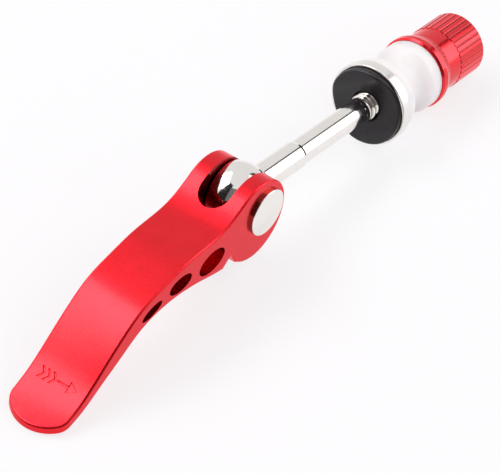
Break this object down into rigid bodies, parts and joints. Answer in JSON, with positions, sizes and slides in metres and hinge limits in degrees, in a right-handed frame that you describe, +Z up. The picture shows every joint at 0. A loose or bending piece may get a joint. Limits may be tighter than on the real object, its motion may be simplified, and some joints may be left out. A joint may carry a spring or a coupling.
{
  "type": "quick release seat clamp skewer",
  "caption": "Quick release skewer for a bicycle seat clamp: forked red cam lever with oval windows on an eye bolt, a cupped saddle pad, a white spool spacer and a fluted thumb nut.",
  "frame": {"origin": "middle of the box round the skewer, on the surface that it lies on", "axes": "+X from the lever's tip to the thumb nut, Y along the pivot pin, +Z up"},
  "size_m": [0.1422, 0.0176, 0.0232],
  "materials": {
    "plated_steel": "bright nickel plate",
    "red_anodised": "red anodised, satin gloss",
    "black_plastic": "moulded, matt",
    "white_nylon": "moulded nylon"
  },
  "bodies": {
    "bolt": {"eye_bolt": "plated_steel"},
    "lever": {"lever": "red_anodised", "pivot_pin": "plated_steel"},
    "spacer": {"spool_spacer": "white_nylon"},
    "nut": {"thumb_nut": "red_anodised"},
    "washer": {"cup_washer": "plated_steel"},
    "pad": {"cam_pad": "black_plastic"}
  },
  "joints": [
    {"name": "lever_swing", "type": "hinge", "parent": "bolt", "child": "lever", "pos_m": [-0.00714, 0, 0.01559], "axis": [0, 1, 0], "range_deg": [-100, 100]},
    {"name": "nut_travel", "type": "slide", "parent": "bolt", "child": "spacer", "axis": [0.9935, 0, -0.1136], "range_m": [-0.015, 0.01]},
    {"name": "nut_turn", "type": "hinge", "parent": "spacer", "child": "nut", "pos_m": [0.05386, 0, 0.00861], "axis": [0.9935, 0, -0.1136], "range_deg": [-4320, 2880]},
    {"name": "cup_slide", "type": "slide", "parent": "spacer", "child": "washer", "axis": [0.9935, 0, -0.1136], "range_m": [-0.016, 0]},
    {"name": "pad_turn", "type": "hinge", "parent": "washer", "child": "pad", "pos_m": [0.0401, 0, 0.01019], "axis": [0.9935, 0, -0.1136], "continuous": true}
  ],
  "couplings": [
    {"joint": "nut_travel", "follows": "nut_turn", "m_per_rad": 0.00019894}
  ]
}
